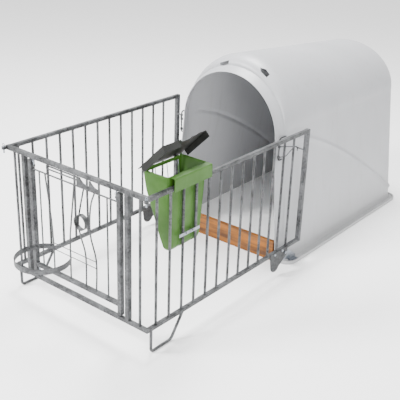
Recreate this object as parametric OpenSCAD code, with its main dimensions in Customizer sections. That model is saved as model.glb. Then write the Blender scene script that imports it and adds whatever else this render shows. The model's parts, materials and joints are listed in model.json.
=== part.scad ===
// Single calf hutch: a moulded tunnel shelter with a barred run, a gate and a hay rack.
// Millimetres, +Z up. The ground is z = 0 and the origin is the middle of the footprint.
// Inside the file, y runs from the front panel towards the back of the hutch.

/* [Run] */
// Distance between the centre planes of the two side panels
run_w = 1140; // [1120:10:1400]
// Distance from the front panel to the centre of the rear stiles
run_len = 1560; // [1300:10:1900]
// Height between the centres of the bottom rails and the top rails
fence_h = 806; // [660:10:1000]
// Height of the bottom rails' centre above the ground
rail_z = 166; // [150:2:200]
// Side of the square tube of the rails
rail = 25; // [20:1:30]
// Side of the square tube of the stiles and posts
stile = 30; // [26:1:36]
// Diameter of the round bars
bar_d = 16; // [12:1:18]
// Distance between neighbouring bars of a side panel
bar_pitch = 111; // [90:1:140]
// Distance from the front panel to the first bar of a side panel
first_bar = 70; // [60:1:90]
// Gap between the last bar and the rear stile, at the least
last_bar_gap = 95; // [60:5:120]
// Diameter of the bent tube of the front feet
foot_d = 18; // [14:1:22]
// Distance of each end bar of the front panel from the side panel
end_bar_gap = 55; // [40:1:70]

/* [Gate] */
// Distance between the centres of the gate's stiles
gate_w = 730; // [600:10:800]
// Distance from a gate stile's centre to its fixed post's centre
post_gap = 59; // [50:1:70]
// Height of the gate's bottom rail above the front panel's bottom rail
gate_lift = 88; // [60:2:120]
// Drop of the gate's top rod below the top rail
top_rod_drop = 81; // [70:1:100]
// Diameter of the gate's bent rods
rod_d = 10; // [8:1:12]
// Thickness of the notched plate
plate_t = 5; // [3:0.5:6]
// Diameter of the hinge pins and of the latch pin
pin_d = 10; // [8:1:12]
// Length that the latch pin stands into the top rail
latch_throw = 12; // [8:1:13]

/* [Holders on the gate] */
// Radius of the bucket ring at the middle of its strip
bucket_r = 164; // [140:2:180]
// Height of the bucket ring's strip
bucket_strip = 34; // [20:1:40]
// Thickness of the bucket ring's strip
bucket_t = 4; // [3:0.5:6]
// Height of the bucket ring's centre above the bottom rail
bucket_z = 264; // [200:2:320]
// Outer radius of the bottle ring
bottle_r = 47; // [35:1:55]
// Depth of the bottle ring
bottle_depth = 31; // [20:1:40]
// Height of the bottle ring's centre above the bottom rail
bottle_z = 520; // [440:2:560]

/* [Hutch] */
// Distance from the front panel to the front edge of the hutch
hutch_y = 1437; // [1200:1:1700]
// Length of the hutch's base flange
flange_len = 1685; // [1500:5:2000]
// Width of the base flange
flange_w = 1196; // [1160:2:1400]
// Thickness of the base flange
flange_t = 12; // [8:1:16]
// Height of the flange's raised edge
flange_lip = 26; // [20:1:30]
// Width between the walls at the ground, at the front
base_w = 1068; // [1000:2:1090]
// Width between the walls where the arch starts
spring_w = 866; // [780:2:980]
// Height where the arch starts, at the front
spring_z = 942; // [800:2:1000]
// Rise of the arch at the front
arch_front = 439; // [380:1:480]
// Rise of the arch at the back
arch_rear = 342; // [300:1:440]
// Wall thickness of the moulding
wall_t = 5; // [4:0.5:8]
// Radius of the mouth
mouth_r = 402; // [340:2:410]
// Height of the centre of the mouth's arch
mouth_z = 882; // [800:2:940]
// Width of the mouth at the ground
mouth_base_w = 944; // [800:2:950]
// Depth of the collar round the mouth
collar_depth = 76; // [50:1:90]
// Height of the bedding board
board_h = 150; // [100:5:200]
// Thickness of the bedding board
board_t = 27; // [20:1:30]

/* [Hay rack] */
// Outside width of the rack along the side panel
rack_len = 338; // [280:2:380]
// Distance from the front panel to the rack's front wall
rack_y = 170; // [150:2:300]
// Depth of the rack at its rim, inwards from the side panel
rack_depth = 188; // [130:2:210]
// Height of the rack's rim above the bottom rail
rack_rim = 872; // [850:2:900]
// Height of the rack from its bottom to its rim
rack_h = 480; // [380:5:540]
// Wall thickness of the rack
rack_t = 5; // [4:0.5:7]
// Angle that the lid stands open at
lid_open = 45; // [20:1:80]
// Width of the lid from its hinged edge to its free edge
lid_w = 246; // [225:2:270]
// Depth of the lid's turned-down edges
lid_edge = 36; // [24:1:45]

/* [Hidden] */

steel = "#8c8f90";
gelcoat = "#dcdde0";
timber = "#b0703a";
rack_green = "#6f9a3c";
lid_black = "#2e302c";
zinc = "#b9bcbd";

play = 0.4;              // gap between pieces that move past each other
pin_play = 0.05;         // radial clearance of a pin in its hole

// levels and planes
half_run = run_w / 2;
top_z = rail_z + fence_h;
rail_top = top_z + rail / 2;
bar_bottom = rail_z + rail / 2;
bar_top = top_z - rail / 2;
gate_x = gate_w / 2;
post_x = gate_x + post_gap;
gate_z = rail_z + gate_lift;
rod_z = top_z - top_rod_drop;
gate_play = 9;           // gap between the gate's stiles and the rails above and below
stile_top = bar_top - gate_play;
pin_x = gate_x - stile / 2 - pin_d;

// hutch stations along y
face_y = hutch_y + collar_depth;
fillet_y = face_y + 114;
flange_rear = hutch_y + flange_len;
rear_foot_y = flange_rear - 36;
rear_lean = 54;          // how far the back wall leans out from the ground to the roof
rear_round = 46;
crown_rear = spring_z - 24 + arch_rear;
rear_top_y = rear_foot_y + rear_lean * (crown_rear - rear_round - flange_t) / crown_rear;
root_w = mouth_r + 28;
root_base = mouth_base_w / 2 + 25;

// bucket ring
bucket_x = -124;
bucket_half_chord = 74;
bucket_y = -sqrt(pow(bucket_r, 2) - pow(bucket_half_chord, 2));
front_reach = bucket_r + bucket_t / 2 - bucket_y;

// the file's own y runs from the front panel; this puts the origin in the middle
y_shift = (front_reach - rear_top_y) / 2;

module at_origin() {
    translate([0, y_shift, 0]) children();
}

module both_sides() {
    children();
    mirror([1, 0, 0]) children();
}

// ---------- curves and swept rods ----------

function cr(a, b, c, d, t) = 0.5 * ((2 * b) + (c - a) * t
    + (2 * a - 5 * b + 4 * c - d) * t * t + (3 * b - a - 3 * c + d) * t * t * t);

// a smooth curve through the points, with steps pieces between neighbours
function smooth(p, steps) = let (n = len(p)) concat(
    [for (i = [0:n - 2], s = [0:steps - 1])
        cr(p[max(i - 1, 0)], p[i], p[i + 1], p[min(i + 2, n - 1)], s / steps)],
    [p[n - 1]]);

// points of an arc about c, in the plane of the unit vectors u and v
function arc(c, u, v, r, a0, a1, n) =
    [for (i = [0:n]) let (a = a0 + (a1 - a0) * i / n) c + r * (cos(a) * u + sin(a) * v)];

function unit(v) = v / norm(v);

function tangent(p, i) = unit(p[min(i + 1, len(p) - 1)] - p[max(i - 1, 0)]);

// a round rod along the points; side is any direction that no tangent is parallel to
module rod(p, d, side, sides = 10) {
    n = len(p);
    rings = [for (i = [0:n - 1]) let (t = tangent(p, i), u = unit(cross(side, t)), v = cross(t, u))
        for (k = [0:sides - 1]) let (a = 360 * k / sides) p[i] + d / 2 * (cos(a) * u + sin(a) * v)];
    faces = concat(
        [[for (k = [0:sides - 1]) k]],
        [for (i = [0:n - 2], k = [0:sides - 1]) let (k2 = (k + 1) % sides)
            [i * sides + k, (i + 1) * sides + k, (i + 1) * sides + k2, i * sides + k2]],
        [[for (k = [sides - 1:-1:0]) (n - 1) * sides + k]]);
    polyhedron(rings, faces, convexity = 6);
}

module box(lo, hi) {
    translate(lo) cube(hi - lo);
}

module hex_bolt(d, head_h, length) {
    cylinder(h = head_h, d = 1.9 * d, $fn = 6);
    translate([0, 0, -length]) cylinder(h = length, d = d, $fn = 32);
}

// ---------- hutch moulding ----------

wall_steps = 3;
arch_steps = 40;
shoulder_angles = [78, 52, 34, 16, 0];
vent_row = 2;
vent_columns = [17, 18, 26, 27];

// half of a tunnel section as [x, z] points: upright through the flange, then leaning in to the arch
function half_tunnel(base, spring, z, rise) = concat(
    [[base, 0]],
    [for (i = [0:wall_steps - 1]) let (f = i / wall_steps)
        [base + (spring - base) * f, flange_t + (z - flange_t) * f]],
    [for (i = [0:arch_steps / 2]) let (a = 180 * i / arch_steps) [spring * cos(a), z + rise * sin(a)]]);

function tunnel(base, spring, z, rise) = let (h = half_tunnel(base, spring, z, rise), n = len(h))
    concat(h, [for (i = [n - 2:-1:0]) [-h[i][0], h[i][1]]]);

// the outer section of the shelter at y, shrunk by inset
function shell_at(y, inset) = let (f = (y - fillet_y) / (rear_foot_y - fillet_y),
        rise = arch_front + (arch_rear - arch_front) * f,
        z = spring_z - 24 * f)
    [for (p = tunnel(base_w / 2 - inset + 14 * f, spring_w / 2 - inset - 7 * f, z, rise - inset))
        [p[0], y + rear_lean * f * max(p[1] - flange_t, 0) / (z + rise), p[1]]];

function root_ring(inset) = [for (p = tunnel(root_base - inset, root_w - inset, mouth_z, root_w - inset))
    [p[0], face_y + inset, p[1]]];

function mouth_ring(inset) = let (b = mouth_base_w / 2 - inset, r = mouth_r - inset)
    [for (p = tunnel(b, r, mouth_z, r)) [p[0], hutch_y, p[1]]];

// the rounded shoulder between the walls and the face: a runs from 0 at the walls to 90
function shoulder_ring(a, inset) = let (w = shell_at(fillet_y, inset), r = root_ring(inset), f = 1 - cos(a))
    [for (i = [0:len(w) - 1]) [w[i][0] + (r[i][0] - w[i][0]) * f,
        fillet_y + (face_y + inset - fillet_y) * sin(a), w[i][2] + (r[i][2] - w[i][2]) * f]];

function rear_ring(a, inset) = let (r = rear_round - inset)
    shell_at(rear_foot_y - rear_round + r * sin(a), inset + r * (1 - cos(a)));

function stations(inset) = concat(
    [mouth_ring(inset), root_ring(inset)],
    [for (a = shoulder_angles) shoulder_ring(a, inset)],
    [for (f = [0.33, 0.66]) shell_at(fillet_y + (rear_foot_y - rear_round - fillet_y) * f, inset)],
    [for (a = [0:30:90]) rear_ring(a, inset)]);

function is_vent(i, k) = i == vent_row && len(search(k, vent_columns)) > 0;

function quad(a, b, c, d) = [[a, b, c], [a, c, d]];

// one skin of the moulding outside, one inside, joined round the mouth, the ground edge and the vents
module hutch_shell() color(gelcoat) at_origin() {
    outer = stations(0);
    inner = stations(wall_t);
    n = len(outer[0]);
    m = len(outer);
    at = n * m;
    points = concat([for (r = outer) each r], [for (r = inner) each r]);
    skins = [for (i = [0:m - 2], k = [0:n - 2]) if (!is_vent(i, k)) let (a = i * n + k)
        each concat(quad(a, a + n, a + n + 1, a + 1), quad(at + a, at + a + 1, at + a + n + 1, at + a + n))];
    front = [for (k = [0:n - 2]) each quad(k, k + 1, at + k + 1, at + k)];
    ground = [for (i = [0:m - 2]) let (a = i * n, b = i * n + n - 1)
        each concat(quad(a, at + a, at + a + n, a + n), quad(b, b + n, at + b + n, at + b))];
    back = (m - 1) * n;
    rear = concat(
        [for (k = [1:n - 2]) [back, back + k + 1, back + k]],
        [for (k = [1:n - 2]) [at + back, at + back + k, at + back + k + 1]],
        quad(back, at + back, at + back + n - 1, back + n - 1));
    rims = [for (i = [0:m - 2], k = [0:n - 2]) if (is_vent(i, k)) let (a = i * n + k)
        each concat(
            quad(a, a + 1, at + a + 1, at + a),
            quad(a + n, at + a + n, at + a + n + 1, a + n + 1),
            is_vent(i, k - 1) ? [] : quad(a, at + a, at + a + n, a + n),
            is_vent(i, k + 1) ? [] : quad(a + 1, a + n + 1, at + a + n + 1, at + a + 1))];
    polyhedron(points, concat(skins, front, ground, rear, rims), convexity = 8);
}

module flange_outline(grow) {
    corner = 90;
    x = flange_w / 2 - corner + grow;
    y0 = hutch_y + corner - grow;
    y1 = flange_rear - corner + grow;
    for (sx = [-1, 1], y = [y0, y1]) translate([sx * x, y]) circle(r = corner, $fn = 48);
    translate([-x - corner, y0]) square([2 * (x + corner), y1 - y0]);
    translate([-x, y0 - corner]) square([2 * x, y1 - y0 + 2 * corner]);
}

module base_flange() color(gelcoat) at_origin() {
    rings = stations(0);
    n = len(rings[0]) - 1;
    m = len(rings) - 1;
    right = [for (i = [0:m]) [rings[i][0][0], rings[i][0][1]]];
    left = [for (i = [m:-1:0]) [rings[i][n][0], rings[i][n][1]]];
    door = [[left[m][0], hutch_y - 5], [right[0][0], hutch_y - 5]];
    difference() {
        linear_extrude(flange_lip) flange_outline(0);
        translate([0, 0, flange_t]) linear_extrude(flange_lip) flange_outline(-9);
        translate([0, 0, -1]) linear_extrude(flange_lip + 2) polygon(concat(right, left, door));
    }
}

// ---------- bedding board ----------

stop_t = 4;
board_y = hutch_y - 8 + board_t / 2;
board_z = 2;
jamb_in = mouth_base_w / 2 - wall_t;
board_half = jamb_in - 14;

module bedding_board() color(timber) at_origin() {
    box([-board_half, board_y - board_t / 2, board_z],
        [board_half, board_y + board_t / 2, board_z + board_h]);
}

// flat stops behind the board's ends, let into the jambs of the mouth
module board_stops() color(zinc) at_origin() both_sides() {
    back = board_y + board_t / 2 + play;
    box([board_half - 24, back, 20], [jamb_in + 1, back + stop_t, board_h - 20]);
}

// ---------- hook bars on the collar and their links ----------

hook_x = 430;
hook_y = hutch_y + 11;
hook_z0 = 752;
hook_z1 = 909;
hook_bar_d = 10;
hook_bar_low_end = hook_y + 42;
hook_bar_high_end = hook_y + 74;
link_d = 7;
link_z = 852;
link_low_z = 776;
peg_y = run_len - stile / 2 + 4;
peg_z = link_z - 12;
peg_d = 10;
peg_len = 50;
link_tip_x = half_run - stile / 2 - peg_len + 11;
link_tip_y = peg_y - peg_d / 2 - link_d / 2 - play;

module hook_bar() {
    bend = 12;
    p = concat(
        [[hook_x, hook_bar_low_end, hook_z0]],
        arc([hook_x, hook_y + bend, hook_z0 + bend], [0, 0, -1], [0, -1, 0], bend, 0, 90, 4),
        arc([hook_x, hook_y + bend, hook_z1 - bend], [0, -1, 0], [0, 0, 1], bend, 0, 90, 4),
        [[hook_x, hook_bar_high_end, hook_z1]]);
    rod(p, hook_bar_d, [1, 0, 0], 12);
}

module hook_bar_left() color(steel) at_origin() mirror([1, 0, 0]) hook_bar();
module hook_bar_right() color(steel) at_origin() hook_bar();

// two eyes turn on the hook bar; the bent tip rests in front of the peg on the rear stile
module link() {
    eye_r = hook_bar_d / 2 + pin_play + 2;
    eye = [hook_x, hook_y, 0];
    tip = [link_tip_x, link_tip_y, 0];
    way = unit(tip - eye);
    side = [way[1], -way[0], 0];
    top = [0, 0, link_z];
    low = [0, 0, link_low_z];
    for (z = [top, low]) translate(eye + z - [0, 0, link_d]) difference() {
        cylinder(h = 2 * link_d, r = hook_bar_d / 2 + link_d * 0.75, $fn = 48);
        translate([0, 0, -1]) cylinder(h = 2 * link_d + 2, r = hook_bar_d / 2 + pin_play, $fn = 48);
    }
    upper = concat([eye + way * eye_r + top],
        arc(tip - way * 10 + top - [0, 0, 10], [0, 0, 1], way, 10, 0, 90, 4),
        [tip + top - [0, 0, 30]]);
    lower = [eye + way * eye_r + low, eye + way * 50 + low + [0, 0, 8], tip - way * 22 + top];
    rod(upper, link_d, side);
    rod(lower, link_d * 0.85, side);
}

module hook_link_left() color(steel) at_origin() mirror([1, 0, 0]) link();
module hook_link_right() color(steel) at_origin() link();

module catch_peg() {
    translate([half_run - stile / 2 - peg_len, peg_y, peg_z]) rotate([0, 90, 0])
        cylinder(h = peg_len, d = peg_d, $fn = 32);
}

module left_catch_peg() color(steel) at_origin() mirror([1, 0, 0]) catch_peg();
module right_catch_peg() color(steel) at_origin() catch_peg();

// ---------- brackets between the flange and the side panels ----------

bracket_t = 6;
bracket_x = half_run - stile / 2 - 2 - bracket_t;
joint_y = hutch_y - 59;
joint_z = rail_z - 28;
joint_d = 12;
plate_x = half_run + rail / 2;
seat_y0 = hutch_y + 58;
seat_y1 = hutch_y + 138;

module flange_bracket() {
    difference() {
        union() {
            translate([bracket_x + bracket_t, 0, 0]) rotate([0, -90, 0]) linear_extrude(bracket_t)
                polygon([[flange_t, seat_y0], [flange_t, seat_y1], [flange_t + 30, seat_y1],
                    [joint_z + 24, joint_y + 26], [joint_z + 24, joint_y - 22], [joint_z - 22, joint_y - 22],
                    [flange_t + 28, hutch_y - 6], [flange_lip + 14, seat_y0 - 20]]);
            box([bracket_x + bracket_t, seat_y0 + 8, flange_t],
                [bracket_x + bracket_t + 30, seat_y1, flange_t + bracket_t]);
        }
        translate([bracket_x - 1, joint_y, joint_z]) rotate([0, 90, 0])
            cylinder(h = bracket_t + 2, d = joint_d, $fn = 40);
    }
}

module flange_bracket_left() color(zinc) at_origin() mirror([1, 0, 0]) flange_bracket();
module flange_bracket_right() color(zinc) at_origin() flange_bracket();

// the bolt that the side panel turns on, with a spacer and a head either side of the foot plate
module pivot_bolt() {
    nut_h = 9;
    head_x = plate_x + bracket_t + play;
    translate([bracket_x - nut_h, joint_y, joint_z]) rotate([0, 90, 0]) {
        cylinder(h = nut_h, d = 22, $fn = 6);
        cylinder(h = head_x - bracket_x + nut_h + 1, d = joint_d, $fn = 40);
    }
    translate([head_x, joint_y, joint_z]) rotate([0, 90, 0]) cylinder(h = 7, d = 22, $fn = 6);
    translate([bracket_x + bracket_t, joint_y, joint_z]) rotate([0, 90, 0])
        cylinder(h = plate_x - play - bracket_x - bracket_t, d = 20, $fn = 40);
}

module pivot_bolt_left() color(zinc) at_origin() mirror([1, 0, 0]) pivot_bolt();
module pivot_bolt_right() color(zinc) at_origin() pivot_bolt();

module bracket_bolts() color(zinc) at_origin() both_sides()
    for (y = [seat_y0 + 24, seat_y1 - 14]) translate([bracket_x + bracket_t + 16, y, flange_t + bracket_t])
        cylinder(h = 6, d = 16, $fn = 6);

module foot_plate_bolts() color(zinc) at_origin() both_sides()
    for (y = [joint_y - 40, joint_y - 130]) translate([plate_x + bracket_t, y, rail_z]) rotate([0, 90, 0])
        cylinder(h = 6, d = 17, $fn = 6);

// ---------- side panels ----------

last_bar = run_len - last_bar_gap;
bar_count = floor((last_bar - first_bar) / bar_pitch) + 1;

module side_rail(z) {
    box([half_run - rail / 2, rail / 2, z - rail / 2],
        [half_run + rail / 2, run_len - stile / 2, z + rail / 2]);
}

module rear_stile() {
    box([half_run - stile / 2, run_len - stile / 2, rail_z - rail / 2],
        [half_run + stile / 2, run_len + stile / 2, rail_top]);
}

module side_bars() {
    for (i = [0:bar_count - 1]) translate([half_run, first_bar + i * bar_pitch, bar_bottom])
        cylinder(h = bar_top - bar_bottom, d = bar_d, $fn = 24);
}

module foot() {
    bend = 22;
    leg_y = 32;
    toe_y = 182;
    knee_y = 305;
    z0 = foot_d / 2;
    top = rail_z - rail / 2;
    slope = atan2(top - z0, knee_y - toe_y);
    p = concat(
        [[half_run, leg_y, top]],
        arc([half_run, leg_y + bend, z0 + bend], [0, -1, 0], [0, 0, -1], bend, 0, 90, 5),
        arc([half_run, toe_y, z0 + 2 * bend], [0, 0, -1], [0, 1, 0], 2 * bend, 0, slope, 4),
        [[half_run, knee_y, top]]);
    difference() {
        rod(p, foot_d, [1, 0, 0], 12);
        box([half_run - foot_d, 0, top], [half_run + foot_d, knee_y + 60, top + foot_d]);
    }
}

module foot_plate() {
    toe = [joint_y - 116, 82];
    toe_r = 50;
    rear = joint_y + 26;
    top = rail_z + rail / 2;
    difference() {
        union() {
            translate([plate_x, toe[0], toe[1]]) rotate([0, 90, 0])
                cylinder(h = bracket_t, r = toe_r, $fn = 64);
            translate([plate_x, 0, 0]) rotate([90, 0, 90]) linear_extrude(bracket_t)
                polygon([[joint_y - 183, top],
                    [toe[0] - toe_r * cos(10), toe[1] - toe_r * sin(10)], [toe[0], toe[1] - 20],
                    [toe[0] + toe_r * cos(-30), toe[1] + toe_r * sin(-30)],
                    [rear, joint_z - 20], [rear, top]]);
        }
        translate([plate_x - 1, joint_y, joint_z]) rotate([0, 90, 0])
            cylinder(h = bracket_t + 2, r = joint_d / 2 + pin_play, $fn = 40);
    }
}

module left_top_rail() color(steel) at_origin() mirror([1, 0, 0]) side_rail(top_z);
module left_bottom_rail() color(steel) at_origin() mirror([1, 0, 0]) side_rail(rail_z);
module left_rear_stile() color(steel) at_origin() mirror([1, 0, 0]) rear_stile();
module left_bars() color(steel) at_origin() mirror([1, 0, 0]) side_bars();
module left_foot() color(steel) at_origin() mirror([1, 0, 0]) foot();
module left_foot_plate() color("#6d7068") at_origin() mirror([1, 0, 0]) foot_plate();
module right_top_rail() color(steel) at_origin() side_rail(top_z);
module right_bottom_rail() color(steel) at_origin() side_rail(rail_z);
module right_rear_stile() color(steel) at_origin() rear_stile();
module right_bars() color(steel) at_origin() side_bars();
module right_foot() color(steel) at_origin() foot();
module right_foot_plate() color("#6d7068") at_origin() foot_plate();

// ---------- front panel ----------

rail_end = half_run + rail / 2;
lug_t = 6;
lug_r = 13;
corner_pin_d = 9;

module front_rail(z) {
    box([-rail_end, -rail / 2, z - rail / 2], [rail_end, rail / 2, z + rail / 2]);
}

module front_top_rail() color(steel) at_origin() difference() {
    front_rail(top_z);
    translate([0, 0, bar_top - 1]) {
        translate([pin_x, 0, 0]) cylinder(h = latch_throw + 4, d = pin_d + 2, $fn = 40);
        translate([-pin_x, 0, 0]) cylinder(h = latch_throw + 4, r = pin_d / 2 + pin_play, $fn = 40);
    }
}

module front_bottom_rail() color(steel) at_origin() difference() {
    front_rail(rail_z);
    translate([-pin_x, 0, rail_z - rail / 2 - 1]) cylinder(h = rail + 2, r = pin_d / 2 + pin_play, $fn = 40);
}

module front_posts() color(steel) at_origin() both_sides()
    box([post_x - stile / 2, -stile / 2, bar_bottom], [post_x + stile / 2, stile / 2, bar_top]);

module front_end_bars() color(steel) at_origin() both_sides()
    translate([half_run - end_bar_gap, 0, bar_bottom])
        cylinder(h = bar_top - bar_bottom, d = bar_d, $fn = 24);

// two ears on each front corner: one on the side rail's end and one on the front rail
module lug(z) {
    difference() {
        union() {
            translate([rail_end, -rail / 2 - lug_r, z]) cylinder(h = lug_t, r = lug_r, $fn = 40);
            box([rail_end - lug_r, -rail / 2 - lug_r, z], [rail_end, -rail / 2, z + lug_t]);
        }
        translate([rail_end, -rail / 2 - lug_r, z - 1])
            cylinder(h = lug_t + 2, r = corner_pin_d / 2 + pin_play, $fn = 40);
    }
}

module corner_lugs() color(steel) at_origin() both_sides()
    for (z = [top_z - lug_t / 2 - 7, top_z + 1]) lug(z);

module corner_pin() {
    head_z = top_z + 1 + lug_t + play;
    x = rail_end;
    y = -rail / 2 - lug_r;
    translate([x, y, head_z]) cylinder(h = 4, d = 16, $fn = 32);
    translate([x, y, top_z - 34]) cylinder(h = head_z - top_z + 34, d = corner_pin_d, $fn = 32);
    translate([x, y, head_z + 4 + 7]) rotate([90, 0, 0]) rotate_extrude($fn = 32)
        translate([8, 0]) circle(d = 4, $fn = 16);
}

module corner_pin_left() color(zinc) at_origin() mirror([1, 0, 0]) corner_pin();
module corner_pin_right() color(zinc) at_origin() corner_pin();

// ---------- gate ----------

stile_bottom = bar_bottom + gate_play;

module gate_stile() {
    box([gate_x - stile / 2, -stile / 2, stile_bottom], [gate_x + stile / 2, stile / 2, stile_top]);
}

module gate_left_stile() color(steel) at_origin() mirror([1, 0, 0]) gate_stile();
module gate_right_stile() color(steel) at_origin() gate_stile();

inner_x = gate_x - stile / 2;

module gate_bottom_rail() color(steel) at_origin() difference() {
    box([-inner_x, -rail / 2, gate_z - rail / 2], [inner_x, rail / 2, gate_z + rail / 2]);
    translate([-pin_x, 0, gate_z - rail / 2 - 1]) cylinder(h = rail + 2, d = pin_d, $fn = 40);
}

module gate_top_rod() color(steel) at_origin() translate([-inner_x, 0, rod_z]) rotate([0, 90, 0])
    cylinder(h = 2 * inner_x, d = rod_d, $fn = 24);

// the bent rods stand between the bottom rail and the top rod
rod_foot = gate_z + rail / 2;
waist_z = rail_z + 460;

module gate_rod(points) {
    p = smooth(concat([[points[0], 0, rod_z]], [for (q = points[1]) [q[0], 0, q[1]]],
        [[points[2], 0, rod_foot]]), 4);
    rod(p, rod_d, [0, 1, 0]);
}

gate_rod_shapes = [
    [-296, [], -296],
    [-246, [[-210, waist_z + 8], [-196, rail_z + 280]], -196],
    [3, [[-30, waist_z + 34], [-46, rail_z + 365]], -50],
    [82, [[40, waist_z + 104], [29, waist_z + 20], [50, rail_z + 403], [84, rail_z + 300]], 82],
    [169, [[133, waist_z + 163], [126, waist_z - 5], [171, rail_z + 298]], 167],
    [267, [], 267]];

module gate_rods() color(steel) at_origin() for (s = gate_rod_shapes) gate_rod(s);

// everything hung on the gate is welded: it bites this far into what it is welded to
weld = 1.5;
wire_d = 5;

module gate_cross_wires() color(steel) at_origin()
    for (z = [rail_z + 285, rail_z + 243])
        translate([-196, rod_d / 2 + wire_d / 2 - weld, z]) rotate([0, 90, 0])
        cylinder(h = 365, d = wire_d, $fn = 20);

plate_x0 = 25;
plate_x1 = 206;
tooth_pitch = 101;
plate_z = rod_z + rod_d / 2 - weld;
plate_top = stile_top - 1;

module gate_grid_rods() color(steel) at_origin() {
    post_at = -225;
    grid_d = rod_d - 1;
    translate([post_at, 0, rod_z]) cylinder(h = plate_top - rod_z, d = rod_d, $fn = 24);
    for (z = [rod_z + 36, plate_top - 4]) translate([post_at, 0, z]) rotate([0, 90, 0])
        cylinder(h = plate_x0 - post_at, d = grid_d, $fn = 24);
}

// two teeth with straight fronts and hollow backs, like a row of waves, and a slim post behind them
module notched_plate() color(steel) at_origin() translate([0, plate_t / 2, 0]) rotate([90, 0, 0])
    linear_extrude(plate_t) {
        valley = plate_z + 22;
        hollow_r = 82;
        translate([plate_x0, plate_z]) square([plate_x1 - plate_x0 + 3, valley - plate_z]);
        translate([plate_x1 - 3, plate_z]) square([6, plate_top - plate_z]);
        for (t = [[plate_x0, tooth_pitch - 6], [plate_x0 + tooth_pitch, plate_x1 - plate_x0 - tooth_pitch]])
            difference() {
                translate([t[0], plate_z]) square([t[1], plate_top - plate_z]);
                translate([t[0] + t[1], valley + hollow_r - 1]) circle(r = hollow_r, $fn = 96);
            }
    }

module bottle_ring() color(steel) at_origin()
    translate([74, weld - rod_d / 2 - bottle_depth / 2, rail_z + bottle_z]) rotate([90, 0, 0]) difference() {
        cylinder(h = bottle_depth, r = bottle_r, center = true, $fn = 72);
        cylinder(h = bottle_depth + 2, r = bottle_r - 3, center = true, $fn = 72);
    }

module bucket_ring() color(steel) at_origin() {
    gap = asin(bucket_half_chord / bucket_r);
    translate([bucket_x, bucket_y, rail_z + bucket_z - bucket_strip / 2]) rotate([0, 0, 90 + gap])
        rotate_extrude(angle = 360 - 2 * gap, $fn = 96)
            translate([bucket_r - bucket_t / 2, 0]) square([bucket_t, bucket_strip]);
}

// pins with pull rings: the left one is the gate's upper hinge, the right one is the latch, drawn down
guide_z = rod_z + 20;
guide_h = 10;
ring_r = 7;
ring_wire = 3.6;

module gate_pin(x, z0, z1, ring_z) {
    translate([x, 0, z0]) cylinder(h = z1 - z0, d = pin_d, $fn = 40);
    translate([x, -pin_d / 2 - ring_wire / 2 + 1, ring_z]) rotate([90, 0, 0]) rotate_extrude($fn = 32)
        translate([ring_r, 0]) circle(d = ring_wire, $fn = 16);
}

module hinge_pin_top() color(zinc) at_origin()
    gate_pin(-pin_x, guide_z - 2, bar_top + latch_throw, bar_top - 14);
module latch_pin() color(zinc) at_origin()
    gate_pin(pin_x, guide_z - 14, bar_top - 2, bar_top - 23);

module hinge_pin_bottom() color(zinc) at_origin()
    translate([-pin_x, 0, rail_z - rail / 2 + 2])
        cylinder(h = gate_z - rail_z + rail - 4, d = pin_d, $fn = 40);

module guide(x, clearance) {
    sx = x > 0 ? 1 : -1;
    difference() {
        union() {
            translate([x, 0, guide_z]) cylinder(h = guide_h, d = pin_d + 7, $fn = 40);
            box([min(x, sx * inner_x), -4, guide_z], [max(x, sx * inner_x), 4, guide_z + guide_h]);
        }
        translate([x, 0, guide_z - 1]) cylinder(h = guide_h + 2, r = pin_d / 2 + clearance, $fn = 40);
    }
}

module pin_guides() color(steel) at_origin() {
    guide(pin_x, pin_play);
    guide(-pin_x, 0);
}

// ---------- hay rack ----------

rack_gap = 1;
rim_z = rail_z + rack_rim;
rack_out = half_run - rail / 2 - rack_gap;
rack_in = rack_out - rack_depth;
rack_bottom = rim_z - rack_h;

rack_end_taper = 46;
rack_foot_r = 0.357 * rack_depth;

// how far the pen's side has moved in towards the panel at a share of the rack's depth
function lean_in(share) = rack_in + share * rack_depth;

// the rack seen from its end: the side panel's side is upright and the pen's side slopes
module rack_end_profile(inset) {
    r = rack_foot_r - inset;
    x1 = rack_out - inset;
    slope = [[rack_in + inset, rim_z + 2], [lean_in(0.06) + inset, rim_z - 118],
        [lean_in(0.5) + inset, rack_bottom + 70], [lean_in(0.57) + inset, rack_bottom + 34]];
    foot = [for (a = [0:15:90]) [x1 - r * (1 - cos(a)), rack_bottom + inset + r * (1 - sin(a))]];
    polygon(concat([[x1, rim_z + 2]], foot, [[lean_in(0.625), rack_bottom + inset]],
        [for (i = [3:-1:0]) slope[i]]));
}

// the rack seen from the pen: narrower at the bottom, with rounded bottom corners
module rack_side_profile(inset) {
    r = 34 - inset;
    y0 = rack_y + rack_end_taper + inset;
    y1 = rack_y + rack_len - rack_end_taper - inset;
    z0 = rack_bottom + inset;
    polygon(concat([[rack_y + inset, rim_z + 2]],
        [for (a = [0:15:90]) [y0 + r * (1 - cos(a)), z0 + r * (1 - sin(a))]],
        [for (a = [90:-15:0]) [y1 - r * (1 - cos(a)), z0 + r * (1 - sin(a))]],
        [[rack_y + rack_len - inset, rim_z + 2]]));
}

module rack_block(inset) intersection() {
    translate([0, rack_y + rack_len + 5, 0]) rotate([90, 0, 0])
        linear_extrude(rack_len + 10) rack_end_profile(inset);
    translate([rack_in - 10, 0, 0]) rotate([90, 0, 90])
        linear_extrude(rack_depth + 20) rack_side_profile(inset);
}

hinge_x = rack_in + 3;
hinge_z = rim_z + 7;
hinge_d = 6;
knuckle = 4.5;           // half width of the blocks round the hinge rod; their corners clear the lid and rim
ear_y = [rack_y + 12, rack_y + rack_len - 20];

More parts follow.
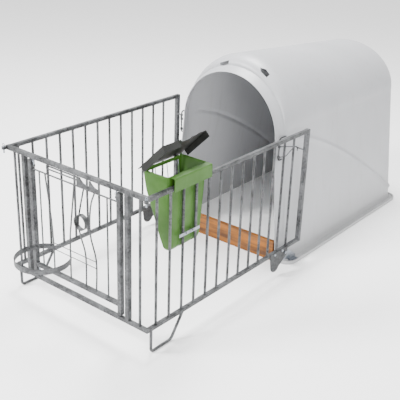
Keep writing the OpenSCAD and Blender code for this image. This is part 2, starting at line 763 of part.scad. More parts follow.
module rack_body() color(rack_green) at_origin() {
    band_out = half_run + rail / 2 + 12;
    band_y0 = rack_y + 16;
    band_y1 = rack_y + rack_len;
    difference() {
        union() {
            difference() {
                rack_block(0);
                rack_block(rack_t);
                box([rack_in - 20, rack_y - 5, rim_z], [rack_out + 5, rack_y + rack_len + 5, rim_z + 5]);
            }
            box([rack_out - rack_t, band_y0, rim_z - rack_t], [band_out, band_y1, rim_z]);
            box([band_out - rack_t, band_y0, rim_z - 80], [band_out, band_y1, rim_z]);
            for (y = ear_y)
                box([hinge_x - knuckle, y, rim_z - 14], [hinge_x + knuckle, y + 8, hinge_z + knuckle]);
        }
        // the side towards the pen is open between the rim and a low lip
        box([rack_in - 10, rack_y + 34, rack_bottom + 66],
            [lean_in(0.512), rack_y + rack_len - 34, rim_z - 16]);
        translate([hinge_x, rack_y, hinge_z]) rotate([-90, 0, 0])
            cylinder(h = rack_len, d = hinge_d, $fn = 40);
    }
}

grille_d = 5;
grille_y = [for (i = [0:2]) rack_y + 102 + 99 * i];

module rack_grille() color(zinc) at_origin() for (y = grille_y)
    rod([[rack_in + 3, y, rim_z - 14], [lean_in(0.09), y, rim_z - 118],
        [lean_in(0.512), y, rack_bottom + 64]],
        grille_d, [0, 1, 0], 8);

strip_z = rail_z + 503;
strip_x = half_run + bar_d / 2;
strip_y0 = rack_y + 80;
strip_y1 = rack_y + 258;

module rack_clamp_strip() color(zinc) at_origin() difference() {
    box([strip_x, strip_y0, strip_z - 10], [strip_x + 3, strip_y1, strip_z + 10]);
    for (y = [strip_y0 + 60, strip_y1 - 60]) translate([strip_x - 1, y, strip_z]) rotate([0, 90, 0])
        cylinder(h = 5, d = 6.6, $fn = 32);
}

module rack_clamp_bolts() color(zinc) at_origin() for (y = [strip_y0 + 60, strip_y1 - 60])
    translate([strip_x + 3, y, strip_z]) rotate([0, 90, 0]) hex_bolt(6, 5, strip_x + 3 - rack_out);

// the lid is drawn closed and turned open about its hinge rod
lid_t = 4;
lid_over = 12;
lid_y0 = rack_y - lid_over - lid_t;
lid_y1 = rack_y + rack_len + lid_over + lid_t;
lid_lift = 7;

module lid_hinge_rod() color(zinc) at_origin() translate([hinge_x, rack_y + 6, hinge_z]) rotate([-90, 0, 0])
    cylinder(h = rack_len - 12, d = hinge_d, $fn = 32);

module lid_closed() {
    x0 = -18;
    x1 = x0 + lid_w;
    z0 = lid_lift;
    difference() {
        union() {
            box([x0, lid_y0, z0], [x1, lid_y1, z0 + lid_t]);
            for (y = [lid_y0, lid_y1 - lid_t]) box([x0 + 30, y, z0 - lid_edge], [x1, y + lid_t, z0 + lid_t]);
            box([x1 - lid_t, lid_y0, z0 - lid_edge], [x1, lid_y0 + 130, z0 + lid_t]);
            for (y = [lid_y0 + 70, lid_y1 - 90]) box([-knuckle, y, -knuckle], [knuckle, y + 20, z0 + 1]);
            for (i = [1:7])
                box([x0 + 30 * i, lid_y0 + 10, z0 + lid_t - 0.5],
                    [x0 + 30 * i + 8, lid_y1 - 10, z0 + lid_t + 3]);
        }
        for (y = [lid_y0 + 70, lid_y1 - 90]) translate([0, y - 1, 0]) rotate([-90, 0, 0])
            cylinder(h = 22, r = hinge_d / 2 + pin_play, $fn = 40);
        // hand hollow in the free edge
        translate([x1 + 40, lid_y0 + 232, z0 - lid_edge - 1])
            cylinder(h = lid_edge + 20, r = 85, $fn = 64);
    }
}

module rack_lid() color(lid_black) at_origin() translate([hinge_x, 0, hinge_z]) rotate([0, -lid_open, 0])
    lid_closed();

hutch_shell();
base_flange();
bedding_board();
board_stops();
hook_bar_left();
hook_bar_right();
hook_link_left();
hook_link_right();
flange_bracket_left();
flange_bracket_right();
pivot_bolt_left();
pivot_bolt_right();
bracket_bolts();
foot_plate_bolts();
left_top_rail();
left_bottom_rail();
left_rear_stile();
left_bars();
left_foot();
left_foot_plate();
left_catch_peg();
right_top_rail();
right_bottom_rail();
right_rear_stile();
right_bars();
right_foot();
right_foot_plate();
right_catch_peg();
front_top_rail();
front_bottom_rail();
front_posts();
front_end_bars();
corner_lugs();
corner_pin_left();
corner_pin_right();
gate_left_stile();
gate_right_stile();
gate_bottom_rail();
gate_top_rod();
gate_rods();
gate_cross_wires();
gate_grid_rods();
notched_plate();
bottle_ring();
bucket_ring();
hinge_pin_top();
hinge_pin_bottom();
pin_guides();
latch_pin();
rack_body();
rack_grille();
rack_clamp_strip();
rack_clamp_bolts();
lid_hinge_rod();
rack_lid();
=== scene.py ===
import json
import math

import bmesh
import bpy
from bpy.props import FloatProperty, FloatVectorProperty, IntProperty, PointerProperty
from mathutils import Matrix, Vector


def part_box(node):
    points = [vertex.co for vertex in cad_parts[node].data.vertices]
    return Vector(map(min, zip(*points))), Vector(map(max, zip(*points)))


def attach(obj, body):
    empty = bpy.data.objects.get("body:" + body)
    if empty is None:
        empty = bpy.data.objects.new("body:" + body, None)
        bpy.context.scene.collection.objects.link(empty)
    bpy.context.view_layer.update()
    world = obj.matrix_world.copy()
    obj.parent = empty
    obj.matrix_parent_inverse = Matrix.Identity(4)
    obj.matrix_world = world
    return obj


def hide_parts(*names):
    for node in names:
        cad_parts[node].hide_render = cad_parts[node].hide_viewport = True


bl_info = {
    "name": "Calf hutch with barred run",
    "version": (1, 0, 0),
    "blender": (4, 5, 0),
    "location": "View3D > Sidebar > Hutch",
    "description": "Moulded shelter, galvanised run, feeding gate and hay rack round a fixed frame",
    "category": "Object",
}

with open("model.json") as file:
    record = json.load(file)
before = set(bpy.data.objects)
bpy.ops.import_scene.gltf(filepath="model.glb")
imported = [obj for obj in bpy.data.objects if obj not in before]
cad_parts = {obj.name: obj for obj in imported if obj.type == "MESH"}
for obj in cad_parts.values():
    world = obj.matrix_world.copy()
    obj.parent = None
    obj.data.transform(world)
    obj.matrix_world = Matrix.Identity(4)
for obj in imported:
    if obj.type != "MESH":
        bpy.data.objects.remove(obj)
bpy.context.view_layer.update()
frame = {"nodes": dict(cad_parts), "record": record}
nodes = frame["nodes"]

MM = 0.001
FLANGE_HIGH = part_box("base_flange")[1]
SHELL_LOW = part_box("hutch_shell")[0]
RAIL_LOW, RAIL_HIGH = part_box("front_top_rail")
RACK_LOW, RACK_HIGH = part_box("rack_body")
RACK_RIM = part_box("lid_hinge_rod")[0][2] - 4 * MM
BAR_RADIUS = (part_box("right_bars")[1][0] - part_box("right_bars")[0][0]) / 2
PANEL_Y = (RAIL_LOW[1] + RAIL_HIGH[1]) / 2
HUTCH_Y = SHELL_LOW[1]


# ---------- sizes and colours ----------

class HutchMouldingSizes(bpy.types.PropertyGroup):
    """The shelter's moulding."""
    wall: FloatProperty(name="Wall", description="Thickness of the laminate", default=0.005,
                        unit="LENGTH")
    ridge_height: FloatProperty(name="Ridge height",
                                description="Relief of the pressed rib in each side wall",
                                default=0.014, unit="LENGTH")
    ridge_width: FloatProperty(name="Ridge width", description="Half width of the pressed rib",
                               default=0.013, unit="LENGTH")
    rows: IntProperty(name="Rows", description="Mesh rows along the tunnel", default=120, min=20)
    gelcoat: FloatVectorProperty(name="Gelcoat", description="Colour of the gelcoat", subtype="COLOR",
                                 default=(0.36, 0.365, 0.38))
    # The stain colour tints the run marks and also darkens the gelcoat towards the ground.
    stain: FloatVectorProperty(name="Stain", description="Colour of dust and run marks", subtype="COLOR",
                               default=(0.24, 0.235, 0.22))


class HutchRunSizes(bpy.types.PropertyGroup):
    """The galvanised run and gate."""
    bead: FloatProperty(name="Weld bead", description="Radius of a weld bead's section", default=0.0022,
                        unit="LENGTH")
    edge: FloatProperty(name="Tube corner", description="Corner radius of the square tube", default=0.0035,
                        unit="LENGTH")
    zinc_light: FloatVectorProperty(name="Light zinc", description="Bright grains of the galvanising",
                                    subtype="COLOR", default=(0.105, 0.108, 0.112))
    zinc_dark: FloatVectorProperty(name="Dark zinc", description="Dull grains of the galvanising",
                                   subtype="COLOR", default=(0.009, 0.0095, 0.0105))


class HutchRackSizes(bpy.types.PropertyGroup):
    """The hay rack, its lid and the bedding board."""
    wall: FloatProperty(name="Rack wall", description="Thickness of the rack's wall", default=0.0045,
                        unit="LENGTH")
    groove: FloatProperty(name="Groove", description="Depth of the grooves that clear the bars",
                          default=0.014, unit="LENGTH")
    green: FloatVectorProperty(name="Rack green", description="Colour of the rack", subtype="COLOR",
                               default=(0.021, 0.074, 0.0008))
    black: FloatVectorProperty(name="Lid black", description="Colour of the lid", subtype="COLOR",
                               default=(0.004, 0.0045, 0.0035))
    timber: FloatVectorProperty(name="Timber", description="Colour of the bedding board", subtype="COLOR",
                                default=(0.20, 0.064, 0.002))


# ---------- node helpers ----------

def finish_tree(name):
    """A new material with its tree, shader and object coordinates."""
    material = bpy.data.materials.new(name)
    material.use_nodes = True
    tree = material.node_tree
    shader = tree.nodes["Principled BSDF"]
    where = tree.nodes.new("ShaderNodeTexCoord").outputs["Object"]
    return material, tree, shader, where


def noise(tree, where, scale, detail=4.0, stretch=None):
    """A noise factor on object coordinates, stretched along an axis if asked."""
    if stretch:
        mapping = tree.nodes.new("ShaderNodeMapping")
        mapping.inputs["Scale"].default_value = stretch
        tree.links.new(where, mapping.inputs["Vector"])
        where = mapping.outputs["Vector"]
    node = tree.nodes.new("ShaderNodeTexNoise")
    node.inputs["Scale"].default_value = scale
    node.inputs["Detail"].default_value = detail
    tree.links.new(where, node.inputs["Vector"])
    return node.outputs["Fac"]


def grains(tree, where, scale):
    """Crystal-like cells, each with its own random value."""
    node = tree.nodes.new("ShaderNodeTexVoronoi")
    node.inputs["Scale"].default_value = scale
    tree.links.new(where, node.inputs["Vector"])
    split = tree.nodes.new("ShaderNodeSeparateColor")
    tree.links.new(node.outputs["Color"], split.inputs["Color"])
    return split.outputs["Red"]


def ramp(tree, factor, stops):
    """A colour ramp with (position, colour) stops."""
    node = tree.nodes.new("ShaderNodeValToRGB")
    band = node.color_ramp
    while len(band.elements) < len(stops):
        band.elements.new(0.5)
    for element, (position, colour) in zip(band.elements, stops):
        element.position = position
        element.color = (*colour, 1.0)
    tree.links.new(factor, node.inputs["Fac"])
    return node.outputs["Color"]


def spread(tree, factor, low, high):
    """The factor moved to the range low to high."""
    node = tree.nodes.new("ShaderNodeMapRange")
    node.inputs["To Min"].default_value = low
    node.inputs["To Max"].default_value = high
    tree.links.new(factor, node.inputs["Value"])
    return node.outputs["Result"]


def blend_colour(tree, factor, first, second):
    """A mix of two colours or colour outputs."""
    node = tree.nodes.new("ShaderNodeMix")
    node.data_type = "RGBA"
    sockets = [s for s in node.inputs if s.type == "RGBA"]
    for socket, value in zip(sockets, (first, second)):
        if isinstance(value, bpy.types.NodeSocket):
            tree.links.new(value, socket)
        else:
            socket.default_value = (*value, 1.0)
    tree.links.new(factor, node.inputs["Factor"])
    return next(s for s in node.outputs if s.type == "RGBA")


def emboss(tree, shader, factor, strength, distance):
    """A bump from the factor, on the shader's normal."""
    node = tree.nodes.new("ShaderNodeBump")
    node.inputs["Strength"].default_value = strength
    node.inputs["Distance"].default_value = distance
    tree.links.new(factor, node.inputs["Height"])
    tree.links.new(node.outputs["Normal"], shader.inputs["Normal"])


def height_of(tree, where):
    """The z coordinate as a factor."""
    node = tree.nodes.new("ShaderNodeSeparateXYZ")
    tree.links.new(where, node.inputs["Vector"])
    return node.outputs["Z"]


# ---------- finishes ----------

def gelcoat_finish(sizes):
    """Off-white gelcoat, a little chalky, with run marks, and darker towards the ground."""
    low_darkening_height, low_darkening_share = 0.30, 0.35
    material, tree, shader, where = finish_tree("gelcoat")
    light = tuple(sizes.gelcoat)
    cloud = noise(tree, where, 2.2, 5.0)
    base = ramp(tree, cloud, [
        (0.3, tuple(0.93 * c for c in light)),
        (0.75, tuple(1.06 * c for c in light)),
    ])
    streaks = noise(tree, where, 9.0, 6.0, stretch=(3.0, 3.0, 0.35))
    marks = ramp(tree, streaks, [(0.56, (0, 0, 0)), (0.78, (0.28, 0.28, 0.28))])
    stained = blend_colour(tree, marks, base, tuple(sizes.stain))
    # Below a given height the gelcoat is mixed with the stain colour, more the nearer it is to the ground,
    # so the surface is darker towards the bottom.
    low = tree.nodes.new("ShaderNodeMapRange")
    low.inputs["From Min"].default_value = low_darkening_height
    low.inputs["From Max"].default_value = 0.0
    low.inputs["To Max"].default_value = low_darkening_share
    tree.links.new(height_of(tree, where), low.inputs["Value"])
    darkened_low = blend_colour(tree, low.outputs["Result"], stained, tuple(sizes.stain))
    tree.links.new(darkened_low, shader.inputs["Base Color"])
    tree.links.new(spread(tree, noise(tree, where, 14.0), 0.34, 0.52), shader.inputs["Roughness"])
    shader.inputs["Coat Weight"].default_value = 0.15
    shader.inputs["Coat Roughness"].default_value = 0.3
    emboss(tree, shader, noise(tree, where, 5.0, 3.0), 0.10, 0.004)
    return material


def galvanised_finish(sizes, name="galvanised", shade=1.0):
    """Hot-dip galvanising: small spangles over a mottled grey, with dull runs."""
    material, tree, shader, where = finish_tree(name)
    light = tuple(c * shade for c in sizes.zinc_light)
    dark = tuple(c * shade for c in sizes.zinc_dark)
    spangle = ramp(tree, grains(tree, where, 85.0), [(0.0, dark), (1.0, light)])
    cloud = noise(tree, where, 11.0, 7.0)
    mottled = ramp(tree, cloud, [(0.40, dark), (0.60, light)])
    patches = noise(tree, where, 40.0)
    tree.links.new(blend_colour(tree, patches, spangle, mottled), shader.inputs["Base Color"])
    shader.inputs["Metallic"].default_value = 0.45
    tree.links.new(spread(tree, cloud, 0.38, 0.66), shader.inputs["Roughness"])
    emboss(tree, shader, noise(tree, where, 120.0, 3.0), 0.12, 0.001)
    return material


def zinc_finish():
    """Bright zinc plating on pins, bolts and brackets."""
    material, tree, shader, where = finish_tree("zinc_plate")
    cloud = noise(tree, where, 35.0, 5.0)
    tone = ramp(tree, cloud, [(0.3, (0.16, 0.18, 0.21)), (0.7, (0.32, 0.34, 0.37))])
    tree.links.new(tone, shader.inputs["Base Color"])
    shader.inputs["Metallic"].default_value = 0.85
    tree.links.new(spread(tree, cloud, 0.28, 0.48), shader.inputs["Roughness"])
    emboss(tree, shader, noise(tree, where, 200.0, 2.0), 0.08, 0.0006)
    return material


def rack_finish(sizes):
    """Green moulded plastic with faint flow marks, faded in patches."""
    material, tree, shader, where = finish_tree("rack_green")
    green = tuple(sizes.green)
    faded = tuple(min(1.0, 1.35 * c + 0.02) for c in green)
    cloud = noise(tree, where, 7.0, 5.0)
    tone = ramp(tree, cloud, [(0.3, green), (0.8, faded)])
    tree.links.new(tone, shader.inputs["Base Color"])
    tree.links.new(spread(tree, noise(tree, where, 30.0), 0.42, 0.62), shader.inputs["Roughness"])
    shader.inputs["Specular IOR Level"].default_value = 0.3
    emboss(tree, shader, noise(tree, where, 260.0, 2.0), 0.08, 0.0006)
    return material


def lid_finish(sizes):
    """Near-black moulded plastic with a dusty bloom."""
    material, tree, shader, where = finish_tree("lid_black")
    black = tuple(sizes.black)
    dusty = tuple(2.2 * c + 0.005 for c in black)
    cloud = noise(tree, where, 9.0, 6.0)
    tone = ramp(tree, cloud, [(0.35, black), (0.85, dusty)])
    tree.links.new(tone, shader.inputs["Base Color"])
    tree.links.new(spread(tree, cloud, 0.45, 0.65), shader.inputs["Roughness"])
    shader.inputs["Specular IOR Level"].default_value = 0.3
    emboss(tree, shader, noise(tree, where, 240.0, 2.0), 0.10, 0.0006)
    return material


def timber_finish(sizes):
    """Orange-brown sealed board with long grain and a few darker bands."""
    material, tree, shader, where = finish_tree("timber")
    brown = tuple(sizes.timber)
    grain = noise(tree, where, 28.0, 8.0, stretch=(0.12, 1.0, 1.0))
    tone = ramp(tree, grain, [
        (0.36, tuple(0.35 * c for c in brown)),
        (0.5, brown),
        (0.68, tuple(min(1.0, 1.6 * c) for c in brown)),
    ])
    tree.links.new(tone, shader.inputs["Base Color"])
    tree.links.new(spread(tree, grain, 0.5, 0.75), shader.inputs["Roughness"])
    emboss(tree, shader, grain, 0.25, 0.001)
    return material


FINISHES = {}


def dress(obj, finish):
    """Gives an object one finish in place of what it had."""
    obj.data.materials.clear()
    obj.data.materials.append(FINISHES[finish])


def mesh_piece(name, points, faces, finish, body, smooth=True):
    """A new mesh object at the origin that rides on a body."""
    mesh = bpy.data.meshes.new(name)
    mesh.from_pydata([tuple(p) for p in points], [], faces)
    mesh.update()
    obj = bpy.data.objects.new(name, mesh)
    bpy.context.scene.collection.objects.link(obj)
    dress(obj, finish)
    for polygon in mesh.polygons:
        polygon.use_smooth = smooth
    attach(obj, body)
    return obj


def outward(obj):
    """Merges doubles and turns every face outwards."""
    work = bmesh.new()
    work.from_mesh(obj.data)
    bmesh.ops.remove_doubles(work, verts=work.verts, dist=1e-6)
    bmesh.ops.recalc_face_normals(work, faces=work.faces)
    work.to_mesh(obj.data)
    work.free()


class HUTCH_OT_finishes(bpy.types.Operator):
    """Makes the finishes and puts them on the frame's own parts"""
    bl_idname = "hutch.finishes"
    bl_label = "Finishes"

    def execute(self, context):
        run = context.scene.hutch_run
        rack = context.scene.hutch_rack
        FINISHES.update({
            "gelcoat": gelcoat_finish(context.scene.hutch_moulding),
            "galvanised": galvanised_finish(run),
            "dark_steel": galvanised_finish(run, "weathered_plate", 0.62),
            "zinc": zinc_finish(),
            "rack_green": rack_finish(rack),
            "lid_black": lid_finish(rack),
            "timber": timber_finish(rack),
        })
        slots = {s["node"]: s["material_slot"] for s in frame["record"]["subparts"]}
        for name, obj in nodes.items():
            dress(obj, slots[name])
        return {"FINISHED"}


# ---------- rounded edges of tubes, plates and boards ----------

ROUNDED = {
    "rail": 1.0, "stile": 1.0, "posts": 1.0, "board": 0.9, "foot_plate": 0.35, "bracket_left": 0.3,
    "bracket_right": 0.3, "flange": 1.1, "lid": 0.35, "notched": 0.25, "lugs": 0.25, "strip": 0.2,
}


class HUTCH_OT_edges(bpy.types.Operator):
    """Rounds the edges of square tubes, plates and the board"""
    bl_idname = "hutch.edges"
    bl_label = "Rounded edges"

    def execute(self, context):
        radius = context.scene.hutch_run.edge
        for name, obj in nodes.items():
            share = next((v for k, v in ROUNDED.items() if k in name), None)
            if share is None or "bolts" in name:
                continue
            weld = obj.modifiers.new("weld", "WELD")
            weld.merge_threshold = 1e-5
            bevel = obj.modifiers.new("bevel", "BEVEL")
            bevel.width = radius * share
            bevel.segments = 3
            bevel.limit_method = "ANGLE"
            bevel.angle_limit = math.radians(40)
        return {"FINISHED"}


# ---------- shelter moulding ----------

def tunnel(base, spring, springing, rise, wall_steps, arch_steps):
    """Half sections joined: (x, z) from the right ground edge over the crown to the left one."""
    right = [(base + (spring - base) * i / wall_steps, springing * i / wall_steps)
             for i in range(wall_steps)]
    arch = [(spring * math.cos(a), springing + rise * math.sin(a))
            for a in (math.pi * i / arch_steps for i in range(arch_steps + 1))]
    return right + arch + [(-x, z) for x, z in reversed(right)]


class Moulding:
    """The shelter's surfaces, worked out from the frame's boxes."""
    WALL_STEPS = 84
    ARCH_STEPS = 60
    COLLAR = 76 * MM
    SHOULDER = 114 * MM
    REAR_ROUND = 46 * MM
    REAR_LEAN = 54 * MM
    SPRING = (942 * MM, 918 * MM)
    RISE = (439 * MM, 342 * MM)
    BASE = (534 * MM, 548 * MM)
    SPRING_HALF = (433 * MM, 426 * MM)
    MOUTH = (472 * MM, 402 * MM, 882 * MM)
    ROOT = (497 * MM, 430 * MM)
    REAR_SETBACK = 36 * MM
    LIP = 4 * MM
    COLLAR_STEPS = 8
    COLLAR_EASE = 0.35
    SHOULDER_STEPS = 16
    REAR_STEPS = 6
    NOSE_STEPS = 6
    SIDE_WALL_X = 0.38
    RIB_START, RIB_END = 209 * MM, 1708 * MM
    RIB_TOP, RIB_DROP, RIB_CURVE = 0.866, 0.817, 1.35
    RIB_LEAD, RIB_FADE, RIB_FOOT = 0.05, 0.12, 0.06
    FLANGE_THICKNESS = 12 * MM
    FOOT_FILLET, FOOT_SPREAD = 26 * MM, 10 * MM
    GROUND_ZONE = 40 * MM

    def __init__(self, sizes):
        self.sizes = sizes
        self.face_y = HUTCH_Y + self.COLLAR
        self.fillet_y = self.face_y + self.SHOULDER
        self.rear_y = FLANGE_HIGH[1] - self.REAR_SETBACK

    def section(self, *values):
        """One outline of the tunnel at the moulding's own step counts."""
        return tunnel(*values, self.WALL_STEPS, self.ARCH_STEPS)

    def along(self, pair, f):
        """A size between its front and rear values."""
        return pair[0] + (pair[1] - pair[0]) * f

    def body_ring(self, y, inset):
        """A ring of the tunnel's body, which leans back towards the rear."""
        f = (y - self.fillet_y) / (self.rear_y - self.fillet_y)
        springing = self.along(self.SPRING, f)
        rise = self.along(self.RISE, f)
        crown = springing + rise
        ring = self.section(self.along(self.BASE, f) - inset, self.along(self.SPRING_HALF, f) - inset,
                            springing, rise - inset)
        return [(x, y + self.REAR_LEAN * f * z / crown, z) for x, z in ring]

    def root_ring(self, inset, y_in):
        """The ring where the collar meets the shoulder."""
        base, spring = self.ROOT
        ring = self.section(base - inset, spring - inset, self.MOUTH[2], spring - inset)
        return [(x, self.face_y + y_in, z) for x, z in ring]

    def mouth_ring(self, y, inset):
        """A ring of the mouth's own outline."""
        base, spring, springing = self.MOUTH
        ring = self.section(base - inset, spring - inset, springing, spring - inset)
        return [(x, y, z) for x, z in ring]

    def skin(self, inset):
        """Rings of one skin from just behind the lip to the flat of the back wall."""
        lip, root = self.mouth_ring(HUTCH_Y + self.LIP, inset), self.root_ring(inset, inset)
        rings = [lip]
        for step in range(1, self.COLLAR_STEPS + 1):
            f = step / self.COLLAR_STEPS
            ease = f * f * (3 - 2 * f) * self.COLLAR_EASE + f * (1 - self.COLLAR_EASE)
            rings.append([tuple(a[j] + (b[j] - a[j]) * (f if j == 1 else ease) for j in range(3))
                          for a, b in zip(lip, root)])
        wall = self.body_ring(self.fillet_y, inset)
        for step in range(1, self.SHOULDER_STEPS + 1):
            a = math.radians(90 * (1 - step / self.SHOULDER_STEPS))
            f = 1 - math.cos(a)
            y = self.fillet_y + (self.face_y + inset - self.fillet_y) * math.sin(a)
            rings.append([(w[0] + (r[0] - w[0]) * f, y, w[2] + (r[2] - w[2]) * f)
                          for w, r in zip(wall, root)])
        rows = self.sizes.rows
        end = self.rear_y - self.REAR_ROUND
        for step in range(1, rows + 1):
            rings.append(self.body_ring(self.fillet_y + (end - self.fillet_y) * step / rows, inset))
        radius = self.REAR_ROUND - inset
        for step in range(1, self.REAR_STEPS + 1):
            a = math.radians(90 * step / self.REAR_STEPS)
            rings.append(self.body_ring(end + radius * math.sin(a), inset + radius * (1 - math.cos(a))))
        return rings

    def relief(self, x, y, z):
        """How far the surface stands out at a point: the pressed rib and the fillet over the flange."""
        start, end = HUTCH_Y + self.RIB_START, HUTCH_Y + self.RIB_END
        out = 0.0
        t = (y - start) / (end - start)
        if abs(x) > self.SIDE_WALL_X:
            t = max(t, 0.0)
            line = self.RIB_TOP - self.RIB_DROP * t ** self.RIB_CURVE
            slope = self.RIB_DROP * self.RIB_CURVE * t ** (self.RIB_CURVE - 1) / (end - start)
            d = (z - line) / math.sqrt(1 + slope * slope)
            fade = min(1.0, max(0.0, (y - start + self.RIB_LEAD) / self.RIB_FADE))
            fade *= min(1.0, z / self.RIB_FOOT)
            out += self.sizes.ridge_height * fade * math.exp(-(d / self.sizes.ridge_width) ** 2)
        rise = z - self.FLANGE_THICKNESS
        if rise < self.FOOT_FILLET and y > self.face_y - 0.02:
            out += self.FOOT_SPREAD * (1 - max(rise, 0.0) / self.FOOT_FILLET) ** 2
        return out

    def raised(self, rings, outer):
        """The rings moved out by the relief along their own normals."""
        done = []
        last = len(rings) - 1
        for i, ring in enumerate(rings):
            row = []
            for k, point in enumerate(ring):
                p = Vector(point)
                out = self.relief(*point)
                if not outer and point[2] < self.GROUND_ZONE:
                    out = 0.0
                if out > 1e-6:
                    u = Vector(rings[min(i + 1, last)][k]) - Vector(rings[max(i - 1, 0)][k])
                    v = Vector(ring[min(k + 1, len(ring) - 1)]) - Vector(ring[max(k - 1, 0)])
                    n = v.cross(u)
                    if point[2] < self.GROUND_ZONE:
                        n.z = 0.0
                    n.normalize()
                    if n.dot(Vector((p.x, (p.y - 0.6) * 0.3, 0.3))) < 0:
                        n.negate()
                    p += n * out
                row.append(p)
            done.append(row)
        return done

    def surface(self):
        """Points and faces of the closed moulding."""
        wall = self.sizes.wall
        outer = self.raised(self.skin(0.0), True)
        inner = self.raised(self.skin(wall), False)
        nose = []
        for step in range(1, self.NOSE_STEPS):
            a = math.pi * step / self.NOSE_STEPS
            nose.append(self.mouth_ring(HUTCH_Y + self.LIP - self.LIP * math.sin(a),
                                        wall / 2 * (1 + math.cos(a))))
        rings = list(reversed(inner)) + nose + outer
        columns = len(outer[0])
        points = [p for ring in rings for p in ring]
        faces = []
        for i in range(len(rings) - 1):
            for k in range(columns - 1):
                a = i * columns + k
                faces.append((a, a + 1, a + columns + 1, a + columns))
        depth = len(outer)
        first_outer = len(inner) + len(nose)
        for i in range(depth - 1):
            for k in (0, columns - 1):
                a = (first_outer + i) * columns + k
                b = (depth - 1 - i) * columns + k
                faces.append((a, a + columns, b - columns, b))
        for k in (0, columns - 1):
            faces.append(tuple((depth - 1 + i) * columns + k for i in range(len(nose) + 2)))
        back = (len(rings) - 1) * columns
        faces.append(tuple(back + k for k in range(columns)))
        faces.append(tuple(range(columns)))
        faces.append((back, back + columns - 1, columns - 1, 0))
        return points, faces


# Each vent's outline, (x, z) in millimetres.
VENTS = (
    ((168, 1327), (204, 1318), (242, 1291), (236, 1272), (182, 1304)),
    ((-154, 1306), (-80, 1336), (-76, 1312), (-115, 1294), (-145, 1289)),
)


class HUTCH_OT_moulding(bpy.types.Operator):
    """Builds the shelter's one-piece moulding with its collar, rib and vents"""
    bl_idname = "hutch.moulding"
    bl_label = "Shelter moulding"

    CUTTER_REACH = 0.06

    def execute(self, context):
        moulding = Moulding(context.scene.hutch_moulding)
        points, faces = moulding.surface()
        obj = mesh_piece("shelter_moulding", points, faces, "gelcoat", "hutch")
        outward(obj)
        for outline in VENTS:
            count = len(outline)
            ring = [(x * MM, z * MM) for x, z in outline]
            y0, y1 = moulding.face_y - self.CUTTER_REACH, moulding.fillet_y + self.CUTTER_REACH
            corners = [(x, y0, z) for x, z in ring] + [(x, y1, z) for x, z in ring]
            sides = [(k, (k + 1) % count, count + (k + 1) % count, count + k) for k in range(count)]
            ends = [tuple(range(count)), tuple(range(2 * count - 1, count - 1, -1))]
            mesh = bpy.data.meshes.new("vent_cutter")
            mesh.from_pydata(corners, [], sides + ends)
            cutter = bpy.data.objects.new("vent_cutter", mesh)
            context.scene.collection.objects.link(cutter)
            outward(cutter)
            cut = obj.modifiers.new("vent", "BOOLEAN")
            cut.object = cutter
            cut.operation = "DIFFERENCE"
            cut.solver = "EXACT"
            context.view_layer.update()
            evaluated = obj.evaluated_get(context.evaluated_depsgraph_get())
            baked = bpy.data.meshes.new_from_object(evaluated)
            obj.modifiers.clear()
            obj.data = baked
            bpy.data.objects.remove(cutter)
        obj.data.shade_smooth()
        split = obj.modifiers.new("crisp", "EDGE_SPLIT")
        split.split_angle = math.radians(30)
        dress(obj, "gelcoat")
        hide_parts("hutch_shell")
        return {"FINISHED"}


# ---------- weld beads by geometry nodes ----------

def bead_tree():
    """A ring of weld at each point, as a node group with named inputs."""
    ring_sides, section_sides = 14, 6
    smallest, largest, seed = 0.92, 1.12, 7
    tree = bpy.data.node_groups.new("weld_beads", "GeometryNodeTree")
    face = tree.interface
    face.new_socket("Points", in_out="INPUT", socket_type="NodeSocketGeometry")
    for label, value in (("Rod radius", 0.006), ("Bead radius", 0.002)):
        socket = face.new_socket(label, in_out="INPUT", socket_type="NodeSocketFloat")
        socket.default_value = value
    face.new_socket("Finish", in_out="INPUT", socket_type="NodeSocketMaterial")
    face.new_socket("Beads", in_out="OUTPUT", socket_type="NodeSocketGeometry")
    new, link = tree.nodes.new, tree.links.new
    given, result = new("NodeGroupInput"), new("NodeGroupOutput")
    ring, section = new("GeometryNodeCurvePrimitiveCircle"), new("GeometryNodeCurvePrimitiveCircle")
    ring.inputs["Resolution"].default_value = ring_sides
    section.inputs["Resolution"].default_value = section_sides
    link(given.outputs["Rod radius"], ring.inputs["Radius"])
    link(given.outputs["Bead radius"], section.inputs["Radius"])
    sweep = new("GeometryNodeCurveToMesh")
    link(ring.outputs["Curve"], sweep.inputs["Curve"])
    link(section.outputs["Curve"], sweep.inputs["Profile Curve"])
    place = new("GeometryNodeInstanceOnPoints")
    link(given.outputs["Points"], place.inputs["Points"])
    link(sweep.outputs["Mesh"], place.inputs["Instance"])
    wobble = new("FunctionNodeRandomValue")
    wobble.data_type = "FLOAT"
    numbers = [s for s in wobble.inputs if s.type == "VALUE"]
    numbers[0].default_value = smallest
    numbers[1].default_value = largest
    wobble.inputs["Seed"].default_value = seed
    link(next(s for s in wobble.outputs if s.type == "VALUE"), place.inputs["Scale"])
    whole, coat = new("GeometryNodeRealizeInstances"), new("GeometryNodeSetMaterial")
    link(place.outputs["Instances"], whole.inputs["Geometry"])
    link(whole.outputs["Geometry"], coat.inputs["Geometry"])
    link(given.outputs["Finish"], coat.inputs["Material"])
    link(coat.outputs["Geometry"], result.inputs["Beads"])
    return tree


